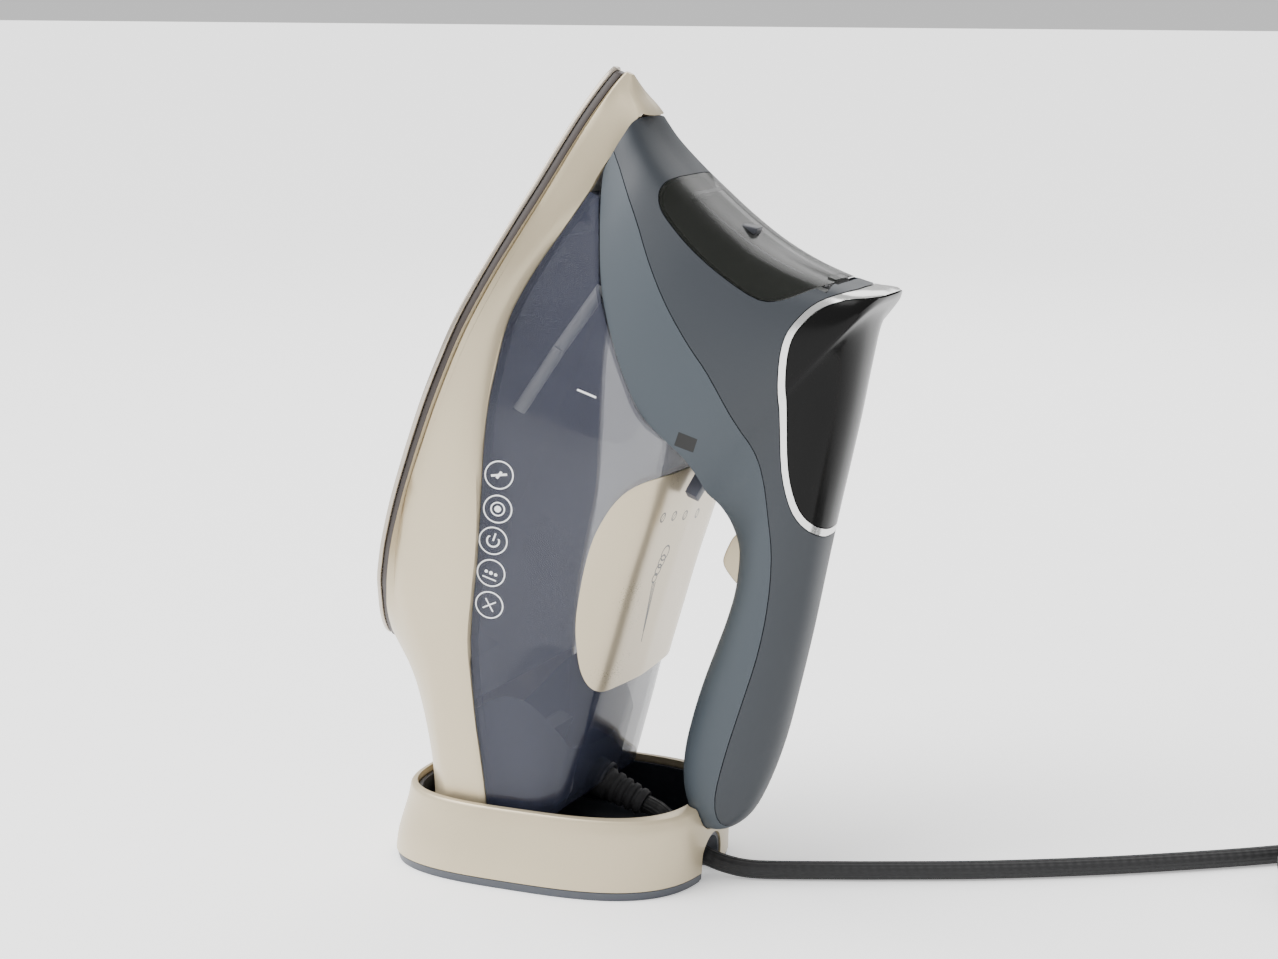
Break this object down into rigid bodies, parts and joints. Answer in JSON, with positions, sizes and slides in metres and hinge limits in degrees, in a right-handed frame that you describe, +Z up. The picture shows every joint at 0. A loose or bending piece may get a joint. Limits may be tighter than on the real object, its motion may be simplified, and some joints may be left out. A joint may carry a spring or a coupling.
{
  "type": "clothes iron",
  "caption": "Steam iron parked nose-up in an oval stand, with clear water tank, closed-loop handle, slanted display, filling lid, trigger, steam lever, mains lead and plug.",
  "frame": {"origin": "centre of the stand's underside, on the surface it stands on", "axes": "+Z up, +X from the soleplate side towards the handle side, +Y across to the iron's far side; the iron leans 21 degrees from upright towards +X"},
  "size_m": [0.4581, 0.1941, 0.2998],
  "materials": {
    "champagne": "satin champagne moulding",
    "grip": "matt blue-grey soft-touch",
    "slate": "satin slate moulding",
    "smoky_blue": "clear smoky blue",
    "smoked_clear": "clear smoked",
    "black_gloss": "polished black",
    "silver": "bright plated trim",
    "dark": "dark moulding",
    "band": "dark brown heat shield",
    "soleplate": "glazed champagne-grey",
    "casting": "as cast",
    "steel": "turned",
    "brass": "turned",
    "board": "green circuit board",
    "white": "natural moulding",
    "black": "black",
    "braid": "black braided sleeve",
    "rubber": "matt"
  },
  "bodies": {
    "stand": {"stand_shell": "champagne", "stand_liner": "dark", "stand_base": "slate", "stand_arch_lining": "slate", "stand_foot_1": "rubber", "stand_foot_2": "rubber", "stand_foot_3": "rubber", "stand_foot_4": "rubber", "stand_screw_1": "steel", "stand_screw_2": "steel", "stand_screw_3": "steel", "mains_lead": "braid", "mains_lead_coil": "braid", "mains_lead_tail": "braid", "plug_body": "black", "plug_pin_earth": "brass", "plug_pin_live": "brass", "plug_pin_neutral": "brass"},
    "iron": {"soleplate": "soleplate", "sole_band": "band", "skirt": "champagne", "water_tank": "smoky_blue", "heel_housing": "dark", "deck_plate": "champagne", "handle_grip": "grip", "handle_cover": "slate", "display_bezel": "silver", "display_window": "black_gloss", "display_board": "board", "fill_lid_pin": "steel", "fill_funnel": "white", "heater_casting": "casting", "heating_element": "steel", "steam_chamber_cover": "casting", "thermostat": "white", "thermal_fuse": "steel", "terminal_block": "white", "trigger_pin": "steel", "pump_body": "white", "valve_body": "dark", "cord_clamp": "dark"},
    "trigger": {"trigger": "champagne"},
    "plunger": {"pump_plunger": "brass"},
    "lever": {"steam_lever": "grip"},
    "needle": {"steam_needle": "brass"},
    "lid": {"fill_lid": "smoked_clear"},
    "guard": {"cord_guard": "black"}
  },
  "joints": [
    {"name": "iron_lift", "type": "slide", "parent": "stand", "child": "iron", "axis": [0, 0, 1], "range_m": [0, 0.15]},
    {"name": "trigger_pull", "type": "hinge", "parent": "iron", "child": "trigger", "pos_m": [0.08376, 0, 0.12991], "axis": [0, -1, 0], "range_deg": [0, 8], "stiffness_Nm_per_rad": 0.3, "springref_deg": -2.86},
    {"name": "plunger_slide", "type": "slide", "parent": "iron", "child": "plunger", "axis": [0.3584, 0, 0.9336], "range_m": [0, 0.001]},
    {"name": "steam_turn", "type": "hinge", "parent": "iron", "child": "lever", "pos_m": [0.0688, 0, 0.17046], "axis": [0.9336, 0, -0.3584], "range_deg": [0, 60]},
    {"name": "needle_slide", "type": "slide", "parent": "iron", "child": "needle", "axis": [-0.9336, 0, 0.3584], "range_m": [0, 0.0011]},
    {"name": "lid_swing", "type": "hinge", "parent": "iron", "child": "lid", "pos_m": [0.10998, 0, 0.22471], "axis": [0, 1, 0], "range_deg": [0, 70]},
    {"name": "guard_swivel", "type": "hinge", "parent": "iron", "child": "guard", "pos_m": [0.00829, 0, 0.03516], "axis": [0.9336, 0, -0.3584], "range_deg": [-40, 40]}
  ],
  "couplings": [
    {"joint": "plunger_slide", "follows": "trigger_pull", "m_per_rad": 0.0068},
    {"joint": "needle_slide", "follows": "steam_turn", "m_per_rad": 0.001}
  ]
}
